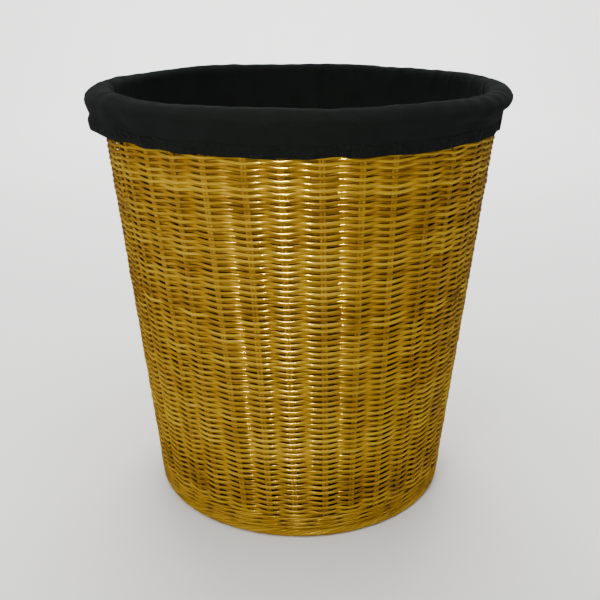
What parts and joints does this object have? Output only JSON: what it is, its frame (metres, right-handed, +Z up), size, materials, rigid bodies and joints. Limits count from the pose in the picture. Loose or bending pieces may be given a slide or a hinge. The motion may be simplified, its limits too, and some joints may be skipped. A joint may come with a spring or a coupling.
{
  "type": "laundry basket woven",
  "caption": "Round, flared laundry basket of varnished woven cane, with a black cloth liner folded over its rim as a cuff.",
  "frame": {"origin": "on the floor, at the middle of the foot", "axes": "+Z up along the basket's axis; -Y is the side seen from the front; the object is round"},
  "size_m": [0.4878, 0.4878, 0.5],
  "materials": {
    "lacquered_cane": "honey-stained cane under a clear gloss varnish",
    "stakes": "honey-stained round cane, varnished",
    "base_cane": "stained cane, thinly varnished",
    "base_sticks": "stained willow or cane stick, thinly varnished",
    "liner_cloth": "plain-woven black cotton",
    "elastic": "braided elastic tape"
  },
  "bodies": {
    "basket": {"base_stick_across_1": "base_sticks", "base_stick_across_2": "base_sticks", "base_stick_across_3": "base_sticks", "base_stick_across_4": "base_sticks", "base_stick_across_5": "base_sticks", "base_stick_through_1": "base_sticks", "base_stick_through_2": "base_sticks", "base_stick_through_3": "base_sticks", "base_stick_through_4": "base_sticks", "stake_pair_01": "stakes", "stake_pair_02": "stakes", "stake_pair_03": "stakes", "stake_pair_04": "stakes", "stake_pair_05": "stakes", "stake_pair_06": "stakes", "stake_pair_07": "stakes", "stake_pair_08": "stakes", "stake_pair_09": "stakes", "stake_pair_10": "stakes", "stake_pair_11": "stakes", "stake_pair_12": "stakes", "stake_pair_13": "stakes", "stake_pair_14": "stakes", "stake_pair_15": "stakes", "stake_pair_16": "stakes", "stake_pair_17": "stakes", "stake_pair_18": "stakes", "stake_pair_19": "stakes", "stake_pair_20": "stakes", "stake_pair_21": "stakes", "stake_pair_22": "stakes", "stake_pair_23": "stakes", "stake_pair_24": "stakes", "stake_pair_25": "stakes", "stake_pair_26": "stakes", "stake_pair_27": "stakes", "stake_pair_28": "stakes", "stake_pair_29": "stakes", "stake_pair_30": "stakes", "stake_pair_31": "stakes", "stake_pair_32": "stakes", "stake_pair_33": "stakes", "stake_pair_34": "stakes", "stake_pair_35": "stakes", "stake_pair_36": "stakes", "base_weave": "base_cane", "upsett_wale": "lacquered_cane", "side_weave": "lacquered_cane", "top_wale": "lacquered_cane", "top_border": "lacquered_cane", "foot_border": "lacquered_cane"},
    "liner": {"liner_bottom_panel": "liner_cloth", "liner_side_panel": "liner_cloth", "liner_cuff": "liner_cloth", "cuff_elastic": "elastic"}
  },
  "joints": [
    {"name": "liner_lift", "type": "slide", "parent": "basket", "child": "liner", "axis": [0, 0, 1], "range_m": [0, 0.5], "deforming": ["liner_cuff", "cuff_elastic"]}
  ]
}
